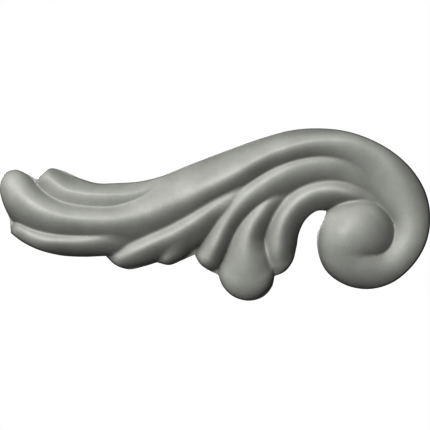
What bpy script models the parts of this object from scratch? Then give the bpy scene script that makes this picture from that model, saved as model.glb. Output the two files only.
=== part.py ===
"""Scroll onlay: an S-scroll with leafy fingers and a volute, moulded in one piece with a flat back.

Metres, +Z up. The front faces -Y, the flat back lies in the plane Y = 0, and the origin is the middle of
the back.
"""

import bmesh
import bpy
import numpy as np
from mathutils import Vector
from mathutils.geometry import delaunay_2d_cdt

# Driving dimensions
LENGTH = 0.200  # left tip to the outside of the volute
RELIEF = 0.0200  # flat back to the top of the ball
EDGE = 0.0022  # straight side all round, between the back and the rounded edge
RIM = 0.0006  # width over which the front rounds over to its edge

# The form is drawn in hundredths of the length: x from the left tip, z above the origin, h above the back.
DRAWN_RELIEF = 10.0  # the height of the ball in the drawing, with the straight side
DRAWN_MIDDLE = 50.0  # the x of the origin

# The outline, one row of (x, z) for each lobe, clockwise from the notch above the left tip.
# Rows meet at notches.
NOTCH_TOP = (8.6, 8.1)
NOTCH_VOLUTE = (75.9, 0.9)
NOTCH_FINGER = (63.8, -14.3)
NOTCH_DROP = (50.8, -14.0)
NOTCH_BUD = (45.3, -9.3)
NOTCH_SPUR = (36.5, -11.1)
NOTCH_LOW_LEAF = (24.6, -9.6)
CORNER_LOW_LEAF = (2.6, -4.3)
CORNER_TIP = (2.3, -0.8)
LOBES = (
    (NOTCH_TOP, (9.8, 9.5), (11.8, 10.7), (14.2, 10.3), (18.6, 8.4), (22.4, 7.3), (27.0, 7.3), (32.6, 7.7),
     (37.2, 8.8), (43.0, 11.1), (52.4, 14.7), (61.1, 17.8), (68.0, 19.6), (74.4, 20.0), (80.2, 19.4),
     (86.0, 17.5), (91.2, 14.6), (95.6, 10.6), (98.8, 5.4), (100.0, -0.8), (99.0, -6.6), (95.5, -12.3),
     (90.8, -16.0), (85.8, -17.3), (80.0, -16.2), (75.7, -12.9), (73.8, -7.6), (74.3, -2.2), NOTCH_VOLUTE),
    (NOTCH_VOLUTE, (73.9, 0.9), (71.3, -0.9), (69.5, -4.3), (68.9, -7.6), (67.9, -11.1), (66.1, -13.3),
     NOTCH_FINGER),
    (NOTCH_FINGER, (63.3, -16.6), (61.3, -19.0), (57.8, -20.0), (54.1, -18.9), (51.7, -16.4), NOTCH_DROP),
    (NOTCH_DROP, (48.9, -13.1), (46.6, -11.5), NOTCH_BUD),
    (NOTCH_BUD, (42.3, -10.6), (39.4, -11.7), NOTCH_SPUR),
    (NOTCH_SPUR, (33.6, -12.0), (29.8, -12.7), (26.9, -11.7), NOTCH_LOW_LEAF),
    (NOTCH_LOW_LEAF, (19.8, -9.8), (13.7, -9.4), (7.6, -7.6), (4.6, -5.9), CORNER_LOW_LEAF),
    (CORNER_LOW_LEAF, CORNER_TIP),
    (CORNER_TIP, (0.7, 2.8), (0.0, 6.4), (1.0, 9.4), (3.5, 10.4), (6.2, 9.4), NOTCH_TOP),
)

# Each rib is a ridge. First comes how softly it runs into the ribs before it. Then comes how straight
# its flanks are, (left, right) at the start and at the end of its run: 0.5 bulges like a ball and 1 is
# straight. Last come its stations, as
# (x, z, h above the side, reach to the left, reach to the right, roundness of the crest).
RIBS = {
    "stem": (0.4, ((0.72, 0.72), (0.5, 0.5)), (
        (3.6, 6.2, 3.4, 4.2, 4.6, 0.5), (5.9, 3.9, 5.4, 4.2, 5.6, 0.4), (9.3, 1.5, 6.8, 4.2, 6.5, 0.35),
        (14.0, -0.3, 7.5, 4.3, 6.9, 0.3), (19.8, -1.1, 7.8, 4.6, 7.0, 0.3),
        (26.7, -1.2, 7.6, 5.3, 7.3, 0.3), (33.9, 0.2, 7.4, 7.0, 7.6, 0.3),
        (41.0, 3.0, 7.4, 7.6, 7.3, 0.3), (52.8, 8.6, 8.0, 6.2, 6.7, 0.2),
        (64.0, 14.5, 8.0, 4.6, 6.5, 0.2), (75.6, 17.0, 7.6, 3.8, 7.0, 0.3),
        (82.2, 16.4, 7.1, 3.8, 8.2, 0.4), (88.0, 13.4, 6.2, 4.3, 9.2, 0.6),
        (94.2, 4.4, 5.2, 5.6, 6.8, 0.8), (95.6, -1.2, 4.8, 5.6, 4.9, 0.9),
        (94.9, -6.7, 4.8, 5.4, 4.9, 0.9), (92.3, -10.4, 5.0, 5.4, 5.4, 0.8),
        (88.4, -11.7, 5.6, 6.0, 5.8, 0.7), (84.8, -10.9, 6.5, 6.8, 6.2, 0.8),
        (82.0, -9.0, 7.3, 7.7, 6.7, 0.9), (81.0, -7.2, 8.0, 7.7, 7.3, 0.9),
        (80.7, -6.0, 8.5, 7.5, 8.0, 0.9), (80.7, -5.0, 8.5, 7.4, 8.0, 0.9))),
    "ball": (0.4, ((0.57, 0.6), (0.57, 0.6)), (
        (80.7, -4.6, 8.9, 7.0, 9.6, 0.9), (81.5, -3.8, 8.9, 6.8, 11.6, 0.9))),
    "top leaf": (0.5, ((0.85, 0.75), (0.85, 0.75)), (
        (11.6, 8.3, 3.0, 2.7, 3.6, 0.3), (15.3, 5.8, 4.4, 3.5, 6.4, 0.15),
        (20.0, 4.8, 5.2, 3.7, 11.0, 0.1), (26.0, 4.5, 5.6, 3.7, 13.0, 0.1),
        (31.0, 4.8, 5.4, 4.0, 12.0, 0.15), (35.0, 5.6, 4.6, 4.4, 10.0, 0.3),
        (39.0, 7.0, 3.0, 5.0, 7.0, 0.4))),
    "low leaf": (0.8, ((0.8, 0.5), (0.8, 0.5)), (
        (4.9, -3.5, 2.8, 2.4, 2.4, 0.3), (9.6, -5.7, 4.8, 3.8, 3.1, 0.25),
        (15.1, -6.2, 5.6, 4.0, 3.4, 0.3), (20.5, -6.0, 5.8, 3.9, 3.8, 0.35),
        (25.1, -5.2, 5.4, 3.8, 4.5, 0.4), (30.2, -3.8, 4.2, 3.8, 5.2, 0.4))),
    "spur": (1.4, ((0.9, 0.55), (0.9, 0.55)), (
        (28.3, -9.9, 3.2, 3.4, 2.7, 0.3), (32.1, -8.2, 5.0, 4.2, 3.8, 0.25),
        (36.0, -6.4, 5.8, 4.7, 4.5, 0.25), (40.7, -4.3, 6.1, 4.9, 5.2, 0.25),
        (45.3, -1.5, 6.3, 4.9, 5.4, 0.2), (50.1, 1.8, 6.3, 4.8, 5.6, 0.25),
        (53.2, 3.6, 6.1, 4.6, 7.0, 0.3), (55.4, 5.0, 5.6, 4.4, 8.0, 0.3))),
    "bud": (1.0, ((0.6, 0.55), (0.6, 0.55)), (
        (39.0, -9.3, 3.2, 3.0, 2.6, 0.6), (40.2, -7.3, 4.1, 3.4, 3.8, 0.6),
        (42.0, -5.2, 4.2, 3.6, 4.0, 0.6))),
    "first finger": (0.8, ((0.7, 0.6), (0.7, 0.6)), (
        (48.6, -9.9, 3.9, 3.2, 3.2, 0.5), (49.8, -7.5, 4.8, 3.3, 3.5, 0.4),
        (51.2, -4.5, 5.2, 3.6, 3.9, 0.3), (52.7, -1.5, 5.7, 4.0, 4.3, 0.3),
        (54.6, 1.3, 6.2, 4.3, 5.0, 0.3), (57.3, 4.2, 6.6, 4.6, 5.7, 0.3),
        (60.9, 6.9, 6.8, 4.6, 6.2, 0.35), (65.4, 9.6, 6.7, 4.5, 6.6, 0.35),
        (70.0, 11.3, 6.5, 4.3, 6.7, 0.4), (75.0, 12.0, 6.1, 4.3, 6.8, 0.45),
        (79.8, 11.6, 5.3, 4.3, 7.0, 0.5), (84.0, 9.8, 4.4, 4.3, 7.2, 0.7),
        (86.5, 7.6, 3.2, 4.2, 7.2, 0.8))),
    "drop": (0.6, ((0.62, 0.55), (0.85, 0.6)), (
        (57.4, -13.5, 3.8, 6.7, 6.4, 1.0), (57.4, -11.4, 4.5, 6.0, 5.8, 0.8),
        (57.3, -8.3, 5.1, 5.1, 4.8, 0.5), (57.6, -5.3, 5.3, 4.6, 4.1, 0.35),
        (58.5, -2.6, 5.3, 4.5, 4.0, 0.3), (60.1, 0.0, 5.2, 4.4, 4.1, 0.3),
        (62.0, 2.5, 4.9, 4.2, 4.1, 0.3), (64.4, 4.7, 4.2, 4.0, 4.2, 0.35),
        (67.0, 6.3, 3.0, 3.6, 4.2, 0.4))),
    "last finger": (1.6, ((0.9, 0.65), (0.7, 0.7)), (
        (65.1, -10.4, 2.7, 3.7, 3.4, 0.7), (64.8, -8.4, 4.0, 3.8, 3.7, 0.5),
        (64.8, -5.5, 4.8, 3.7, 4.3, 0.35), (65.4, -2.6, 5.3, 3.6, 4.6, 0.3),
        (67.0, 0.5, 5.4, 3.7, 4.8, 0.3), (69.6, 3.3, 5.4, 3.8, 4.8, 0.3),
        (73.3, 5.3, 5.3, 3.8, 4.7, 0.35), (77.4, 5.7, 5.3, 3.6, 4.2, 0.35),
        (81.4, 4.9, 4.6, 3.4, 3.8, 0.35), (85.1, 3.1, 2.7, 3.0, 3.7, 0.4),
        (87.6, 0.8, 1.2, 2.5, 2.8, 0.5))),
}
RIB_STEP = 0.2  # spacing of the places at which a rib is worked out, in hundredths of the length
BEYOND_REACH = 1.5  # how fast a rib goes on falling past its reach, so that it never shows there
ON_THE_CREST = 1e-9  # a place nearer to the crest than this has no left or right

# The mesh
MESH_STEP = 0.0010  # spacing of the front's vertices before thinning
KEPT_SHARE = 0.36  # share of the faces that thinning keeps

PRIMER_GREY = (0.42, 0.42, 0.40, 1.0)
PRIMER_ROUGHNESS = 0.6
SHARP_ANGLE = 60.0  # degrees: only the arris round the back stays sharp


def curve_through(rows, step):
    """Rows on one smooth curve through the given rows, about a step apart. A row starts with its place."""
    rows = np.asarray(rows, float)
    chords = np.hypot(*np.diff(rows[:, :2], axis=0).T)
    along = np.concatenate([[0.0], np.cumsum(chords)])
    if len(rows) > 2:
        tangents = np.gradient(rows, along, axis=0)
    else:
        tangents = np.diff(rows, axis=0)[[0, 0]] / chords[0]
    places = np.linspace(0.0, along[-1], max(2, int(np.ceil(along[-1] / step)) + 1))
    span = np.clip(np.searchsorted(along, places, side="right") - 1, 0, len(chords) - 1)
    width = chords[span][:, None]
    share = (places - along[span])[:, None] / width
    rise = share * share * (3 - 2 * share)
    leave = share * (1 - share) ** 2 * width
    arrive = share * share * (share - 1) * width
    curve = rows[span] * (1 - rise) + rows[span + 1] * rise
    return curve + tangents[span] * leave + tangents[span + 1] * arrive


def outline(step):
    """The closed outline in the drawing's units, clockwise."""
    return np.concatenate([curve_through(lobe, step)[:-1] for lobe in LOBES])


def smooth_max(first, second, blend):
    """The larger of two heights, with the crease between them filled a little."""
    overlap = np.clip(blend - np.abs(first - second), 0, None) / blend
    return np.maximum(first, second) + overlap * overlap * blend / 4


def between(left_value, right_value, left):
    """A value that turns from its right-hand to its left-hand one as left goes from -1 to 1."""
    return (left_value + right_value) / 2 + (left_value - right_value) / 2 * left


def rib_height(flanks, stations, x, z):
    """Height of one rib: it falls from its crest to nothing at its reach, which differs on the two sides."""
    path = curve_through(stations, RIB_STEP)
    flank_shapes = np.linspace(*flanks, len(path))
    height = np.full(x.shape, -np.inf)
    for start, end, straightness in zip(path[:-1], path[1:], flank_shapes):
        run = end[:2] - start[:2]
        length = np.hypot(*run)
        off_x = x - start[0]
        off_z = z - start[1]
        share = np.clip((off_x * run[0] + off_z * run[1]) / length**2, 0, 1)
        off_x -= share * run[0]
        off_z -= share * run[1]
        distance = np.hypot(off_x, off_z)
        left = (run[0] * off_z - run[1] * off_x) / (length * np.maximum(distance, ON_THE_CREST))
        top, reach_left, reach_right, roundness = start[2:, None] + share * (end - start)[2:, None]
        reach = between(reach_left, reach_right, left)
        fall = (np.hypot(distance / reach, roundness) - roundness) / (np.hypot(1, roundness) - roundness)
        within = np.abs(1 - fall) ** between(*straightness, left)
        flank = np.where(fall < 1, within, (1 - fall) * BEYOND_REACH)
        height = np.maximum(height, top * flank)
    return height


def distance_to(edge, x, z):
    """Distance from each point to the closed outline."""
    nearest = np.full(x.shape, np.inf)
    for start, end in zip(edge, np.roll(edge, -1, axis=0)):
        run = end - start
        share = np.clip(((x - start[0]) * run[0] + (z - start[1]) * run[1]) / (run @ run), 0, 1)
        away = np.hypot(x - start[0] - share * run[0], z - start[1] - share * run[1])
        nearest = np.minimum(nearest, away)
    return nearest


def relief(x, z, edge):
    """Height of the front above the back, in metres, at points of the drawing."""
    unit = LENGTH / 100
    rise = RELIEF / (DRAWN_RELIEF * unit)
    side = EDGE / unit / rise
    front = np.full(x.shape, side)
    for crease, flanks, stations in RIBS.values():
        front = smooth_max(front, side + rib_height(flanks, stations, x, z), crease)
    inward = distance_to(edge, x, z)
    over_rim = np.sqrt(1 - (1 - np.clip(inward * unit / RIM, 0, 1)) ** 2)
    return (side + (front - side) * over_rim) * unit * rise


def inside(edge, x, z):
    """Whether each point lies inside the closed outline."""
    crossings = np.zeros(x.shape, int)
    for start, end in zip(edge, np.roll(edge, -1, axis=0)):
        spans = (start[1] > z) != (end[1] > z)
        if spans.any():
            across = start[0] + (z - start[1]) / (end[1] - start[1]) * (end[0] - start[0])
            crossings += spans & (x < across)
    return crossings % 2 == 1


def honeycomb(edge, step):
    """Evenly spread points inside the outline, clear of its own points."""
    low = edge.min(axis=0)
    high = edge.max(axis=0)
    rows = []
    for number, z in enumerate(np.arange(low[1], high[1], step * np.sqrt(3) / 2)):
        x = np.arange(low[0] + number % 2 * step / 2, high[0], step)
        rows.append(np.column_stack([x, np.full(len(x), z)]))
    points = np.concatenate(rows)
    points = points[inside(edge, *points.T)]
    return points[distance_to(edge, *points.T) > step / 2]


def triangles_within(edge, points):
    """Triangles that fill the outline, as rows of indices into its points followed by the others."""
    flat = [Vector(place) for place in np.concatenate([edge, points])]
    merge = 1e-6
    keep_inside = 1
    return delaunay_2d_cdt(flat, [], [range(len(edge))], keep_inside, merge)[2]


def onlay_mesh():
    """One closed mesh: the carved front, the straight side and the flat back."""
    step = MESH_STEP / LENGTH * 100
    edge = outline(step)
    inner = honeycomb(edge, step)
    drawn = np.concatenate([edge, inner])
    depth = relief(drawn[:, 0], drawn[:, 1], edge)
    place = (drawn - (DRAWN_MIDDLE, 0)) * LENGTH / 100
    mesh = bmesh.new()
    front = [mesh.verts.new((x, -y, z)) for (x, z), y in zip(place, depth)]
    back = [mesh.verts.new((x, 0, z)) for x, z in place[:len(edge)]]
    for corners in triangles_within(edge, inner):
        mesh.faces.new([front[corner] for corner in corners])
    for corners in triangles_within(edge, inner[:0]):
        mesh.faces.new([back[corner] for corner in corners])
    for here in range(len(edge)):
        after = (here + 1) % len(edge)
        mesh.faces.new((front[here], front[after], back[after], back[here]))
    bmesh.ops.recalc_face_normals(mesh, faces=mesh.faces)
    return mesh


def primer():
    """Matt pale grey primer, as the piece is sold for painting."""
    material = bpy.data.materials.new("grey_primer")
    material.use_nodes = True
    shader = material.node_tree.nodes["Principled BSDF"]
    shader.inputs["Base Color"].default_value = PRIMER_GREY
    shader.inputs["Roughness"].default_value = PRIMER_ROUGHNESS
    shader.inputs["Metallic"].default_value = 0.0
    return material


def scroll_onlay():
    mesh = bpy.data.meshes.new("scroll_onlay")
    shape = onlay_mesh()
    shape.to_mesh(mesh)
    shape.free()
    mesh.materials.append(primer())
    mesh.shade_smooth()
    mesh.set_sharp_from_angle(angle=np.radians(SHARP_ANGLE))
    onlay = bpy.data.objects.new("scroll_onlay", mesh)
    bpy.context.scene.collection.objects.link(onlay)
    thinning = onlay.modifiers.new("Thin out flat stretches", "DECIMATE")
    thinning.ratio = KEPT_SHARE
    return onlay


for old in list(bpy.data.objects):
    bpy.data.objects.remove(old, do_unlink=True)
scroll_onlay()
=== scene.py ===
"""Scroll onlay in pale grey primer, seen face on, with soft studio light from the upper left.

The carving is drawn as in the part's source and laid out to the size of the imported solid. Its mesh is finer.
"""

import bmesh
import bpy
import numpy as np
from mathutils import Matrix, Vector
from mathutils.geometry import delaunay_2d_cdt


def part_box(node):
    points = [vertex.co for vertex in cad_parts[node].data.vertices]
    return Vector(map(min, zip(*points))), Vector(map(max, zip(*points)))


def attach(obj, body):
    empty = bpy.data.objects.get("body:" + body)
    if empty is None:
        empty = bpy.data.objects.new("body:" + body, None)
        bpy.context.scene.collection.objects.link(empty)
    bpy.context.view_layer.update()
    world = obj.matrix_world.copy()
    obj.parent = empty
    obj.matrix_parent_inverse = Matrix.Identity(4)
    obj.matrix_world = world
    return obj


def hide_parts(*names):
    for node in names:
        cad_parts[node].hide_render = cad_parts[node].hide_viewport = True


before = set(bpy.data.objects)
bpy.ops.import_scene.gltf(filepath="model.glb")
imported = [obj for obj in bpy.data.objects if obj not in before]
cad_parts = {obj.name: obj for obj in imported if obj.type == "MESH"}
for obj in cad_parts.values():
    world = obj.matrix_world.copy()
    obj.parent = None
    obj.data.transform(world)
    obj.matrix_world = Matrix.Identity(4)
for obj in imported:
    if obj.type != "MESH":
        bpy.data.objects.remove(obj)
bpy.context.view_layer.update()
LOWEST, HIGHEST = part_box("scroll_onlay")

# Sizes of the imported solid, and those of its edge
LENGTH = HIGHEST.x - LOWEST.x
RELIEF = -LOWEST.y
EDGE = 0.0022  # straight side all round, between the back and the rounded edge
RIM = 0.0006  # width over which the front rounds over to its edge
MESH_STEP = 0.0004  # spacing of the front's vertices
RIM_ROWS = (0.00006, 0.00018, 0.00035, RIM)  # distances from the outline of the rows on the rounding
RIM_ROW_CLEAR = 0.97  # a point nearer to the outline than this share of its distance is left out
SHARP_ANGLE = 60.0  # degrees: only the arris round the back stays sharp

# The primer. Each noise is given as (scale, detail).
PRIMER_THIN = (0.405, 0.41, 0.39, 1)
PRIMER_THICK = (0.455, 0.46, 0.44, 1)
CLOUDS = (60.0, 3)
GRAIN = (1800.0, 2)
GRAIN_SHADE = (0.95, 0.95, 0.95, 1)
SKIN = (300.0, 4)
SKIN_RANGE = (0.3, 0.7)  # the noise values that span the skin's roughness
SKIN_ROUGHNESS = (0.5, 0.68)
PRIMER_SHINE = 0.35
PEEL = (900.0, 3)
PEEL_STRENGTH = 0.25
PEEL_DEPTH = 0.0002
NOISE_ROUGHNESS = 0.55
NOISE_RANGE = (0.35, 0.65)  # most values of a noise lie in here

# The sanded back
BACK_FACING = (0.5, 0.9)  # how far the surface faces +Y where the back begins and where it is full
BACK_ROUGHNESS = 0.8
SANDED_DARK = (0.43, 0.43, 0.41, 1)
SANDED_PALE = (0.49, 0.49, 0.47, 1)
SANDING_STRETCH = (25.0, 25.0, 1500.0)  # marks are long along the piece and fine across it
SANDING = (1.0, 3)

# Painted shade in the grooves: the primer's colour is darkened where less light gets in
RECESS_CELL = 0.0005  # spacing of the grid on which the mean height is worked out
RECESS_WIDTH = 0.003  # how far round a place its mean height is taken
RECESS_FEWEST = 0.001  # a cell with a smaller share of vertices than this has no mean
RECESS_NONE = -0.0010  # a crest stands this far above the mean
RECESS_FULL = 0.0006  # a groove lies this far below it
PAINTED_RECESS_SHADE = (0.87, 0.87, 0.87, 1)

# The studio
PICTURE_SIZE = 430
PICTURE_WIDTH = 0.200  # what the picture's width takes in at the plane of the back
PICTURE_MIDDLE = 214.5  # the row of the picture at the height of the mount
CAMERA_DISTANCE = 3.0
CAMERA_LIMIT = 50.0
SENSOR = 36.0
KEY_DIRECTION = (-0.32, -0.86, 0.46)
KEY_POWER = 50.0
KEY_SIZE = 1.6
BEHIND_DIRECTION = (-0.4, 0.9, 0.25)  # lights the back, and hardly any of the front
BEHIND_POWER = 22.0
BEHIND_SIZE = 0.4
LIGHT_DISTANCE = 1.6
FILL = 0.02  # strength of the even light all round
FLOOR_DROP = 0.9
FLOOR_SIZE = 1.0
PAPER = (0.85, 0.85, 0.84, 1)
PAPER_ROUGHNESS = 0.9
WHITE = (1, 1, 1, 1)
CONTRAST_GAMMA = 0.555  # view gamma that gives the picture its contrast

# The form is drawn in hundredths of the length: x from the left tip, z above the origin and h, a height.
DRAWN_RELIEF = 10.0  # the height of the ball in the drawing, with the straight side
DRAWN_MIDDLE = 50.0  # the x of the origin

# The outline, one row of (x, z) for each lobe, clockwise from the notch above the left tip.
# Rows meet at notches.
NOTCH_TOP = (8.6, 8.1)
NOTCH_VOLUTE = (75.9, 0.9)
NOTCH_FINGER = (63.8, -14.3)
NOTCH_DROP = (50.8, -14.0)
NOTCH_BUD = (45.3, -9.3)
NOTCH_SPUR = (36.5, -11.1)
NOTCH_LOW_LEAF = (24.6, -9.6)
CORNER_LOW_LEAF = (2.6, -4.3)
CORNER_TIP = (2.3, -0.8)
LOBES = (
    (NOTCH_TOP, (9.8, 9.5), (11.8, 10.7), (14.2, 10.3), (18.6, 8.4), (22.4, 7.3), (27.0, 7.3), (32.6, 7.7),
     (37.2, 8.8), (43.0, 11.1), (52.4, 14.7), (61.1, 17.8), (68.0, 19.6), (74.4, 20.0), (80.2, 19.4),
     (86.0, 17.5), (91.2, 14.6), (95.6, 10.6), (98.8, 5.4), (100.0, -0.8), (99.0, -6.6), (95.5, -12.3),
     (90.8, -16.0), (85.8, -17.3), (80.0, -16.2), (75.7, -12.9), (73.8, -7.6), (74.3, -2.2), NOTCH_VOLUTE),
    (NOTCH_VOLUTE, (73.9, 0.9), (71.3, -0.9), (69.5, -4.3), (68.9, -7.6), (67.9, -11.1), (66.1, -13.3),
     NOTCH_FINGER),
    (NOTCH_FINGER, (63.3, -16.6), (61.3, -19.0), (57.8, -20.0), (54.1, -18.9), (51.7, -16.4), NOTCH_DROP),
    (NOTCH_DROP, (48.9, -13.1), (46.6, -11.5), NOTCH_BUD),
    (NOTCH_BUD, (42.3, -10.6), (39.4, -11.7), NOTCH_SPUR),
    (NOTCH_SPUR, (33.6, -12.0), (29.8, -12.7), (26.9, -11.7), NOTCH_LOW_LEAF),
    (NOTCH_LOW_LEAF, (19.8, -9.8), (13.7, -9.4), (7.6, -7.6), (4.6, -5.9), CORNER_LOW_LEAF),
    (CORNER_LOW_LEAF, CORNER_TIP),
    (CORNER_TIP, (0.7, 2.8), (0.0, 6.4), (1.0, 9.4), (3.5, 10.4), (6.2, 9.4), NOTCH_TOP),
)

# Each rib is a ridge. First comes how softly it runs into the ribs before it. Then comes how straight
# its flanks are, (left, right) at the start and at the end of its run: 0.5 bulges like a ball and 1 is
# straight. Last come its stations, as
# (x, z, h above the side, reach to the left, reach to the right, roundness of the crest).
RIBS = {
    "stem": (0.4, ((0.72, 0.72), (0.5, 0.5)), (
        (3.6, 6.2, 3.4, 4.2, 4.6, 0.5), (5.9, 3.9, 5.4, 4.2, 5.6, 0.4), (9.3, 1.5, 6.8, 4.2, 6.5, 0.35),
        (14.0, -0.3, 7.5, 4.3, 6.9, 0.3), (19.8, -1.1, 7.8, 4.6, 7.0, 0.3),
        (26.7, -1.2, 7.6, 5.3, 7.3, 0.3), (33.9, 0.2, 7.4, 7.0, 7.6, 0.3),
        (41.0, 3.0, 7.4, 7.6, 7.3, 0.3), (52.8, 8.6, 8.0, 6.2, 6.7, 0.2),
        (64.0, 14.5, 8.0, 4.6, 6.5, 0.2), (75.6, 17.0, 7.6, 3.8, 7.0, 0.3),
        (82.2, 16.4, 7.1, 3.8, 8.2, 0.4), (88.0, 13.4, 6.2, 4.3, 9.2, 0.6),
        (94.2, 4.4, 5.2, 5.6, 6.8, 0.8), (95.6, -1.2, 4.8, 5.6, 4.9, 0.9),
        (94.9, -6.7, 4.8, 5.4, 4.9, 0.9), (92.3, -10.4, 5.0, 5.4, 5.4, 0.8),
        (88.4, -11.7, 5.6, 6.0, 5.8, 0.7), (84.8, -10.9, 6.5, 6.8, 6.2, 0.8),
        (82.0, -9.0, 7.3, 7.7, 6.7, 0.9), (81.0, -7.2, 8.0, 7.7, 7.3, 0.9),
        (80.7, -6.0, 8.5, 7.5, 8.0, 0.9), (80.7, -5.0, 8.5, 7.4, 8.0, 0.9))),
    "ball": (0.4, ((0.57, 0.6), (0.57, 0.6)), (
        (80.7, -4.6, 8.9, 7.0, 9.6, 0.9), (81.5, -3.8, 8.9, 6.8, 11.6, 0.9))),
    "top leaf": (0.5, ((0.85, 0.75), (0.85, 0.75)), (
        (11.6, 8.3, 3.0, 2.7, 3.6, 0.3), (15.3, 5.8, 4.4, 3.5, 6.4, 0.15),
        (20.0, 4.8, 5.2, 3.7, 11.0, 0.1), (26.0, 4.5, 5.6, 3.7, 13.0, 0.1),
        (31.0, 4.8, 5.4, 4.0, 12.0, 0.15), (35.0, 5.6, 4.6, 4.4, 10.0, 0.3),
        (39.0, 7.0, 3.0, 5.0, 7.0, 0.4))),
    "low leaf": (0.8, ((0.8, 0.5), (0.8, 0.5)), (
        (4.9, -3.5, 2.8, 2.4, 2.4, 0.3), (9.6, -5.7, 4.8, 3.8, 3.1, 0.25),
        (15.1, -6.2, 5.6, 4.0, 3.4, 0.3), (20.5, -6.0, 5.8, 3.9, 3.8, 0.35),
        (25.1, -5.2, 5.4, 3.8, 4.5, 0.4), (30.2, -3.8, 4.2, 3.8, 5.2, 0.4))),
    "spur": (1.4, ((0.9, 0.55), (0.9, 0.55)), (
        (28.3, -9.9, 3.2, 3.4, 2.7, 0.3), (32.1, -8.2, 5.0, 4.2, 3.8, 0.25),
        (36.0, -6.4, 5.8, 4.7, 4.5, 0.25), (40.7, -4.3, 6.1, 4.9, 5.2, 0.25),
        (45.3, -1.5, 6.3, 4.9, 5.4, 0.2), (50.1, 1.8, 6.3, 4.8, 5.6, 0.25),
        (53.2, 3.6, 6.1, 4.6, 7.0, 0.3), (55.4, 5.0, 5.6, 4.4, 8.0, 0.3))),
    "bud": (1.0, ((0.6, 0.55), (0.6, 0.55)), (
        (39.0, -9.3, 3.2, 3.0, 2.6, 0.6), (40.2, -7.3, 4.1, 3.4, 3.8, 0.6),
        (42.0, -5.2, 4.2, 3.6, 4.0, 0.6))),
    "first finger": (0.8, ((0.7, 0.6), (0.7, 0.6)), (
        (48.6, -9.9, 3.9, 3.2, 3.2, 0.5), (49.8, -7.5, 4.8, 3.3, 3.5, 0.4),
        (51.2, -4.5, 5.2, 3.6, 3.9, 0.3), (52.7, -1.5, 5.7, 4.0, 4.3, 0.3),
        (54.6, 1.3, 6.2, 4.3, 5.0, 0.3), (57.3, 4.2, 6.6, 4.6, 5.7, 0.3),
        (60.9, 6.9, 6.8, 4.6, 6.2, 0.35), (65.4, 9.6, 6.7, 4.5, 6.6, 0.35),
        (70.0, 11.3, 6.5, 4.3, 6.7, 0.4), (75.0, 12.0, 6.1, 4.3, 6.8, 0.45),
        (79.8, 11.6, 5.3, 4.3, 7.0, 0.5), (84.0, 9.8, 4.4, 4.3, 7.2, 0.7),
        (86.5, 7.6, 3.2, 4.2, 7.2, 0.8))),
    "drop": (0.6, ((0.62, 0.55), (0.85, 0.6)), (
        (57.4, -13.5, 3.8, 6.7, 6.4, 1.0), (57.4, -11.4, 4.5, 6.0, 5.8, 0.8),
        (57.3, -8.3, 5.1, 5.1, 4.8, 0.5), (57.6, -5.3, 5.3, 4.6, 4.1, 0.35),
        (58.5, -2.6, 5.3, 4.5, 4.0, 0.3), (60.1, 0.0, 5.2, 4.4, 4.1, 0.3),
        (62.0, 2.5, 4.9, 4.2, 4.1, 0.3), (64.4, 4.7, 4.2, 4.0, 4.2, 0.35),
        (67.0, 6.3, 3.0, 3.6, 4.2, 0.4))),
    "last finger": (1.6, ((0.9, 0.65), (0.7, 0.7)), (
        (65.1, -10.4, 2.7, 3.7, 3.4, 0.7), (64.8, -8.4, 4.0, 3.8, 3.7, 0.5),
        (64.8, -5.5, 4.8, 3.7, 4.3, 0.35), (65.4, -2.6, 5.3, 3.6, 4.6, 0.3),
        (67.0, 0.5, 5.4, 3.7, 4.8, 0.3), (69.6, 3.3, 5.4, 3.8, 4.8, 0.3),
        (73.3, 5.3, 5.3, 3.8, 4.7, 0.35), (77.4, 5.7, 5.3, 3.6, 4.2, 0.35),
        (81.4, 4.9, 4.6, 3.4, 3.8, 0.35), (85.1, 3.1, 2.7, 3.0, 3.7, 0.4),
        (87.6, 0.8, 1.2, 2.5, 2.8, 0.5))),
}
RIB_STEP = 0.2  # spacing of the places at which a rib is worked out, in hundredths of the length
BEYOND_REACH = 1.5  # how fast a rib goes on falling past its reach, so that it never shows there
ON_THE_CREST = 1e-9  # a place nearer to the crest than this has no left or right


def curve_through(rows, step):
    """Rows on one smooth curve through the given rows, about a step apart. A row starts with its place."""
    rows = np.asarray(rows, float)
    chords = np.hypot(*np.diff(rows[:, :2], axis=0).T)
    along = np.concatenate([[0.0], np.cumsum(chords)])
    if len(rows) > 2:
        tangents = np.gradient(rows, along, axis=0)
    else:
        tangents = np.diff(rows, axis=0)[[0, 0]] / chords[0]
    places = np.linspace(0.0, along[-1], max(2, int(np.ceil(along[-1] / step)) + 1))
    span = np.clip(np.searchsorted(along, places, side="right") - 1, 0, len(chords) - 1)
    width = chords[span][:, None]
    share = (places - along[span])[:, None] / width
    rise = share * share * (3 - 2 * share)
    leave = share * (1 - share) ** 2 * width
    arrive = share * share * (share - 1) * width
    curve = rows[span] * (1 - rise) + rows[span + 1] * rise
    return curve + tangents[span] * leave + tangents[span + 1] * arrive


def outline(step):
    """The closed outline in the drawing's units, clockwise."""
    return np.concatenate([curve_through(lobe, step)[:-1] for lobe in LOBES])


def smooth_max(first, second, blend):
    """The larger of two heights, with the crease between them filled a little."""
    overlap = np.clip(blend - np.abs(first - second), 0, None) / blend
    return np.maximum(first, second) + overlap * overlap * blend / 4


def between(left_value, right_value, left):
    """A value that turns from its right-hand to its left-hand one as left goes from -1 to 1."""
    return (left_value + right_value) / 2 + (left_value - right_value) / 2 * left


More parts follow.
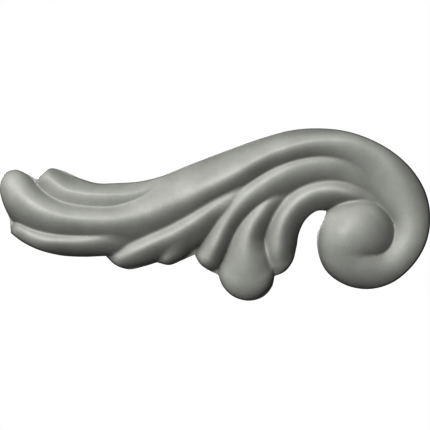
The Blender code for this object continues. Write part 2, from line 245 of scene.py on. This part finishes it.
def rib_height(flanks, stations, x, z):
    """Height of one rib: it falls from its crest to nothing at its reach, which differs on the two sides."""
    path = curve_through(stations, RIB_STEP)
    flank_shapes = np.linspace(*flanks, len(path))
    height = np.full(x.shape, -np.inf)
    for start, end, straightness in zip(path[:-1], path[1:], flank_shapes):
        run = end[:2] - start[:2]
        length = np.hypot(*run)
        off_x = x - start[0]
        off_z = z - start[1]
        share = np.clip((off_x * run[0] + off_z * run[1]) / length**2, 0, 1)
        off_x -= share * run[0]
        off_z -= share * run[1]
        distance = np.hypot(off_x, off_z)
        left = (run[0] * off_z - run[1] * off_x) / (length * np.maximum(distance, ON_THE_CREST))
        top, reach_left, reach_right, roundness = start[2:, None] + share * (end - start)[2:, None]
        reach = between(reach_left, reach_right, left)
        fall = (np.hypot(distance / reach, roundness) - roundness) / (np.hypot(1, roundness) - roundness)
        within = np.abs(1 - fall) ** between(*straightness, left)
        flank = np.where(fall < 1, within, (1 - fall) * BEYOND_REACH)
        height = np.maximum(height, top * flank)
    return height


def distance_to(edge, x, z):
    """Distance from each point to the closed outline."""
    nearest = np.full(x.shape, np.inf)
    for start, end in zip(edge, np.roll(edge, -1, axis=0)):
        run = end - start
        share = np.clip(((x - start[0]) * run[0] + (z - start[1]) * run[1]) / (run @ run), 0, 1)
        away = np.hypot(x - start[0] - share * run[0], z - start[1] - share * run[1])
        nearest = np.minimum(nearest, away)
    return nearest


def relief(x, z, edge):
    """Height of the front above the back, in metres, at points of the drawing."""
    unit = LENGTH / 100
    rise = RELIEF / (DRAWN_RELIEF * unit)
    side = EDGE / unit / rise
    front = np.full(x.shape, side)
    for crease, flanks, stations in RIBS.values():
        front = smooth_max(front, side + rib_height(flanks, stations, x, z), crease)
    inward = distance_to(edge, x, z)
    over_rim = np.sqrt(1 - (1 - np.clip(inward * unit / RIM, 0, 1)) ** 2)
    return (side + (front - side) * over_rim) * unit * rise


def inside(edge, x, z):
    """Whether each point lies inside the closed outline."""
    crossings = np.zeros(x.shape, int)
    for start, end in zip(edge, np.roll(edge, -1, axis=0)):
        spans = (start[1] > z) != (end[1] > z)
        if spans.any():
            across = start[0] + (z - start[1]) / (end[1] - start[1]) * (end[0] - start[0])
            crossings += spans & (x < across)
    return crossings % 2 == 1


def honeycomb(edge, step):
    """Evenly spread points inside the outline, clear of the rows on the rounding."""
    low = edge.min(axis=0)
    high = edge.max(axis=0)
    rows = []
    for number, z in enumerate(np.arange(low[1], high[1], step * np.sqrt(3) / 2)):
        x = np.arange(low[0] + number % 2 * step / 2, high[0], step)
        rows.append(np.column_stack([x, np.full(len(x), z)]))
    points = np.concatenate(rows)
    points = points[inside(edge, *points.T)]
    return points[distance_to(edge, *points.T) > RIM_ROWS[-1] / LENGTH * 100 + step / 2]


def rim_rows(edge):
    """Rows of points just inside the outline, which carry the rounding of the front's edge."""
    along = np.roll(edge, -1, axis=0) - np.roll(edge, 1, axis=0)
    inward = np.column_stack([along[:, 1], -along[:, 0]]) / np.hypot(*along.T)[:, None]
    rows = []
    for offset in np.array(RIM_ROWS) / LENGTH * 100:
        row = edge + inward * offset
        clear = distance_to(edge, *row.T) > offset * RIM_ROW_CLEAR
        rows.append(row[inside(edge, *row.T) & clear])
    return np.concatenate(rows)


def triangles_within(edge, points):
    """Triangles that fill the outline, as indices into its own points followed by the other points."""
    flat = [Vector(place) for place in np.concatenate([edge, points])]
    merge = 1e-6
    keep_inside = 1
    return delaunay_2d_cdt(flat, [], [range(len(edge))], keep_inside, merge)[2]


def blurred(cells, rounds):
    """The grid of values after rounds of mixing each cell with its neighbours."""
    for _ in range(rounds):
        for _ in ("columns", "rows"):
            padded = np.pad(cells, ((1, 1), (0, 0)))
            cells = (cells / 2 + (padded[:-2] + padded[2:]) / 4).T
    return cells


def recesses(place, depth):
    """How far each place lies below the mean height round it, which sets its painted shade: 0 on a crest and 1
    in a groove.
    """
    at = (place - place.min(axis=0)) / RECESS_CELL
    cell = at.astype(int)
    shape = cell.max(axis=0) + 2
    heights = np.zeros(shape)
    counts = np.zeros(shape)
    np.add.at(heights, tuple(cell.T), depth)
    np.add.at(counts, tuple(cell.T), 1)
    rounds = int(2 * (RECESS_WIDTH / RECESS_CELL) ** 2)
    mean = blurred(heights, rounds) / np.maximum(blurred(counts, rounds), RECESS_FEWEST)
    # A mean belongs to the middle of its cell. It holds before the middle, and past the middle it leans
    # towards the mean of the next cell.
    share = np.clip(at - cell - 0.5, 0, 1).T
    here = mean[tuple(cell.T)]
    beside = mean[tuple((cell + (1, 0)).T)]
    above = mean[tuple((cell + (0, 1)).T)]
    level = here + share[0] * (beside - here) + share[1] * (above - here)
    return np.clip((level - depth - RECESS_NONE) / (RECESS_FULL - RECESS_NONE), 0, 1)


def carved_mesh():
    """One closed mesh: the carved front, the straight side and the flat back."""
    step = MESH_STEP / LENGTH * 100
    edge = outline(step)
    inner = np.concatenate([rim_rows(edge), honeycomb(edge, step)])
    drawn = np.concatenate([edge, inner])
    depth = relief(drawn[:, 0], drawn[:, 1], edge)
    place = (drawn - (DRAWN_MIDDLE, 0)) * LENGTH / 100
    place = np.clip(place, (LOWEST.x, LOWEST.z), (HIGHEST.x, HIGHEST.z))
    mesh = bmesh.new()
    # Each vertex holds how deep in a groove it lies, which sets the painted shade of the grooves
    recess_painted_shade = mesh.verts.layers.float.new("recess_painted_shade")
    front = [mesh.verts.new((x, -y, z)) for (x, z), y in zip(place, depth)]
    for corner, value in zip(front, recesses(place, depth)):
        corner[recess_painted_shade] = value
    back = [mesh.verts.new((x, 0, z)) for x, z in place[:len(edge)]]
    for corners in triangles_within(edge, inner):
        mesh.faces.new([front[corner] for corner in corners])
    for corners in triangles_within(edge, inner[:0]):
        mesh.faces.new([back[corner] for corner in corners])
    for here in range(len(edge)):
        after = (here + 1) % len(edge)
        mesh.faces.new((front[here], front[after], back[after], back[here]))
    bmesh.ops.recalc_face_normals(mesh, faces=mesh.faces)
    return mesh


def node(tree, kind, **values):
    """A new shader node with its properties and constant inputs set."""
    made = tree.nodes.new(kind)
    for name, value in values.items():
        if hasattr(made, name):
            setattr(made, name, value)
        else:
            made.inputs[name.replace("_", " ")].default_value = value
    return made


def noise(tree, place, scale, detail):
    """Values of a cloudy noise, 0 to 1."""
    made = node(tree, "ShaderNodeTexNoise", Scale=scale, Detail=detail, Roughness=NOISE_ROUGHNESS)
    tree.links.new(place, made.inputs["Vector"])
    return made.outputs["Fac"]


def stretched(tree, value, low, high, to_low, to_high):
    """The value mapped from one range to another, held at the ends."""
    made = node(tree, "ShaderNodeMapRange", From_Min=low, From_Max=high, To_Min=to_low, To_Max=to_high)
    tree.links.new(value, made.inputs["Value"])
    return made.outputs["Result"]


def mixed(tree, factor, first, second, kind="RGBA", blend="MIX"):
    """One value or colour mixed with another. Each is a constant or the output of a node."""
    made = node(tree, "ShaderNodeMix", data_type=kind)
    if kind == "RGBA":
        made.blend_type = blend
    for name, value in (("Factor", factor), ("A", first), ("B", second)):
        if isinstance(value, bpy.types.NodeSocket):
            tree.links.new(value, made.inputs[name])
        else:
            made.inputs[name].default_value = value
    return made.outputs["Result"]


def sanding_marks(tree, place):
    """Long fine marks along the piece, 0 to 1."""
    along = node(tree, "ShaderNodeVectorMath", operation="MULTIPLY")
    along.inputs[1].default_value = SANDING_STRETCH
    tree.links.new(place, along.inputs[0])
    return stretched(tree, noise(tree, along.outputs["Vector"], *SANDING), *NOISE_RANGE, 0, 1)


def primed_resin():
    """Sprayed grey primer over cast resin: faintly cloudy, with a fine grain and an orange-peel skin.

    Painted shade makes its colour a little darker in the grooves. The flat back is sanded and chalkier.
    """
    material = bpy.data.materials.new("grey_primer_sprayed")
    material.use_nodes = True
    tree = material.node_tree
    link = tree.links.new
    shader = tree.nodes["Principled BSDF"]
    coordinates = tree.nodes.new("ShaderNodeTexCoord")
    place = coordinates.outputs["Object"]
    facing = tree.nodes.new("ShaderNodeSeparateXYZ")
    link(coordinates.outputs["Normal"], facing.inputs[0])
    back = stretched(tree, facing.outputs["Y"], *BACK_FACING, 0, 1)
    marks = sanding_marks(tree, place)

    clouds = stretched(tree, noise(tree, place, *CLOUDS), *NOISE_RANGE, 0, 1)
    grain = stretched(tree, noise(tree, place, *GRAIN), *NOISE_RANGE, 0, 1)
    recess_painted_shade = node(tree, "ShaderNodeAttribute", attribute_name="recess_painted_shade").outputs["Fac"]
    front_tone = mixed(tree, clouds, PRIMER_THIN, PRIMER_THICK)
    front_tone = mixed(tree, grain, front_tone, GRAIN_SHADE, blend="MULTIPLY")
    # Painted shade: the colour is multiplied darker in the grooves, where less light gets in
    front_tone = mixed(tree, recess_painted_shade, front_tone, PAINTED_RECESS_SHADE, blend="MULTIPLY")
    back_tone = mixed(tree, marks, SANDED_DARK, SANDED_PALE)
    link(mixed(tree, back, front_tone, back_tone), shader.inputs["Base Color"])

    skin = stretched(tree, noise(tree, place, *SKIN), *SKIN_RANGE, *SKIN_ROUGHNESS)
    link(mixed(tree, back, skin, BACK_ROUGHNESS, "FLOAT"), shader.inputs["Roughness"])
    shader.inputs["Specular IOR Level"].default_value = PRIMER_SHINE
    peel = noise(tree, place, *PEEL)
    bump = node(tree, "ShaderNodeBump", Strength=PEEL_STRENGTH, Distance=PEEL_DEPTH)
    link(mixed(tree, back, peel, marks, "FLOAT"), bump.inputs["Height"])
    link(bump.outputs["Normal"], shader.inputs["Normal"])
    return material


def carved_onlay():
    """The whole piece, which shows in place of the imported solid."""
    mesh = bpy.data.meshes.new("carved_scroll")
    shape = carved_mesh()
    shape.to_mesh(mesh)
    shape.free()
    mesh.materials.append(primed_resin())
    mesh.shade_smooth()
    mesh.set_sharp_from_angle(angle=np.radians(SHARP_ANGLE))
    onlay = bpy.data.objects.new("carved_scroll", mesh)
    bpy.context.scene.collection.objects.link(onlay)
    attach(onlay, "root")
    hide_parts("scroll_onlay")


def camera():
    """A level view of the front, with a long lens."""
    made = bpy.data.cameras.new("camera")
    made.sensor_width = SENSOR
    made.lens = SENSOR * CAMERA_DISTANCE / PICTURE_WIDTH
    made.clip_end = CAMERA_LIMIT
    eye = bpy.data.objects.new("camera", made)
    bpy.context.scene.collection.objects.link(eye)
    drop = (PICTURE_SIZE / 2 - PICTURE_MIDDLE) / PICTURE_SIZE * PICTURE_WIDTH
    eye.location = (0, -CAMERA_DISTANCE, -drop)
    eye.rotation_euler = (np.radians(90), 0, 0)
    bpy.context.scene.camera = eye


def soft_light(name, direction, size, power):
    """A round lamp that faces the piece."""
    lamp = bpy.data.lights.new(name, "AREA")
    lamp.shape = "DISK"
    lamp.size = size
    lamp.energy = power
    made = bpy.data.objects.new(name, lamp)
    bpy.context.scene.collection.objects.link(made)
    towards = Vector(direction).normalized()
    made.location = towards * LIGHT_DISTANCE
    made.rotation_euler = towards.to_track_quat("Z", "Y").to_euler()


def surroundings():
    """A white view behind the piece, while only a dim even light comes from it."""
    world = bpy.data.worlds.new("studio")
    bpy.context.scene.world = world
    world.use_nodes = True
    tree = world.node_tree
    tree.nodes.clear()
    seen = tree.nodes.new("ShaderNodeBackground")
    seen.inputs["Color"].default_value = WHITE
    lit = tree.nodes.new("ShaderNodeBackground")
    lit.inputs["Color"].default_value = WHITE
    lit.inputs["Strength"].default_value = FILL
    ray = tree.nodes.new("ShaderNodeLightPath")
    mix = tree.nodes.new("ShaderNodeMixShader")
    out = tree.nodes.new("ShaderNodeOutputWorld")
    tree.links.new(ray.outputs["Is Camera Ray"], mix.inputs[0])
    tree.links.new(lit.outputs[0], mix.inputs[1])
    tree.links.new(seen.outputs[0], mix.inputs[2])
    tree.links.new(mix.outputs[0], out.inputs["Surface"])


def floor():
    """A sheet of pale paper, below the picture."""
    half = FLOOR_SIZE / 2
    mesh = bpy.data.meshes.new("floor")
    corners = [(-half, -half, 0), (half, -half, 0), (half, half, 0), (-half, half, 0)]
    mesh.from_pydata(corners, [], [(0, 1, 2, 3)])
    paper = bpy.data.materials.new("pale_floor")
    paper.use_nodes = True
    shader = paper.node_tree.nodes["Principled BSDF"]
    shader.inputs["Base Color"].default_value = PAPER
    shader.inputs["Roughness"].default_value = PAPER_ROUGHNESS
    mesh.materials.append(paper)
    made = bpy.data.objects.new("floor", mesh)
    bpy.context.scene.collection.objects.link(made)
    made.location.z = -FLOOR_DROP


bpy.context.scene.view_settings.view_transform = "Standard"
bpy.context.scene.view_settings.gamma = CONTRAST_GAMMA
camera()
soft_light("key", KEY_DIRECTION, KEY_SIZE, KEY_POWER)
soft_light("behind", BEHIND_DIRECTION, BEHIND_SIZE, BEHIND_POWER)
surroundings()
floor()
carved_onlay()
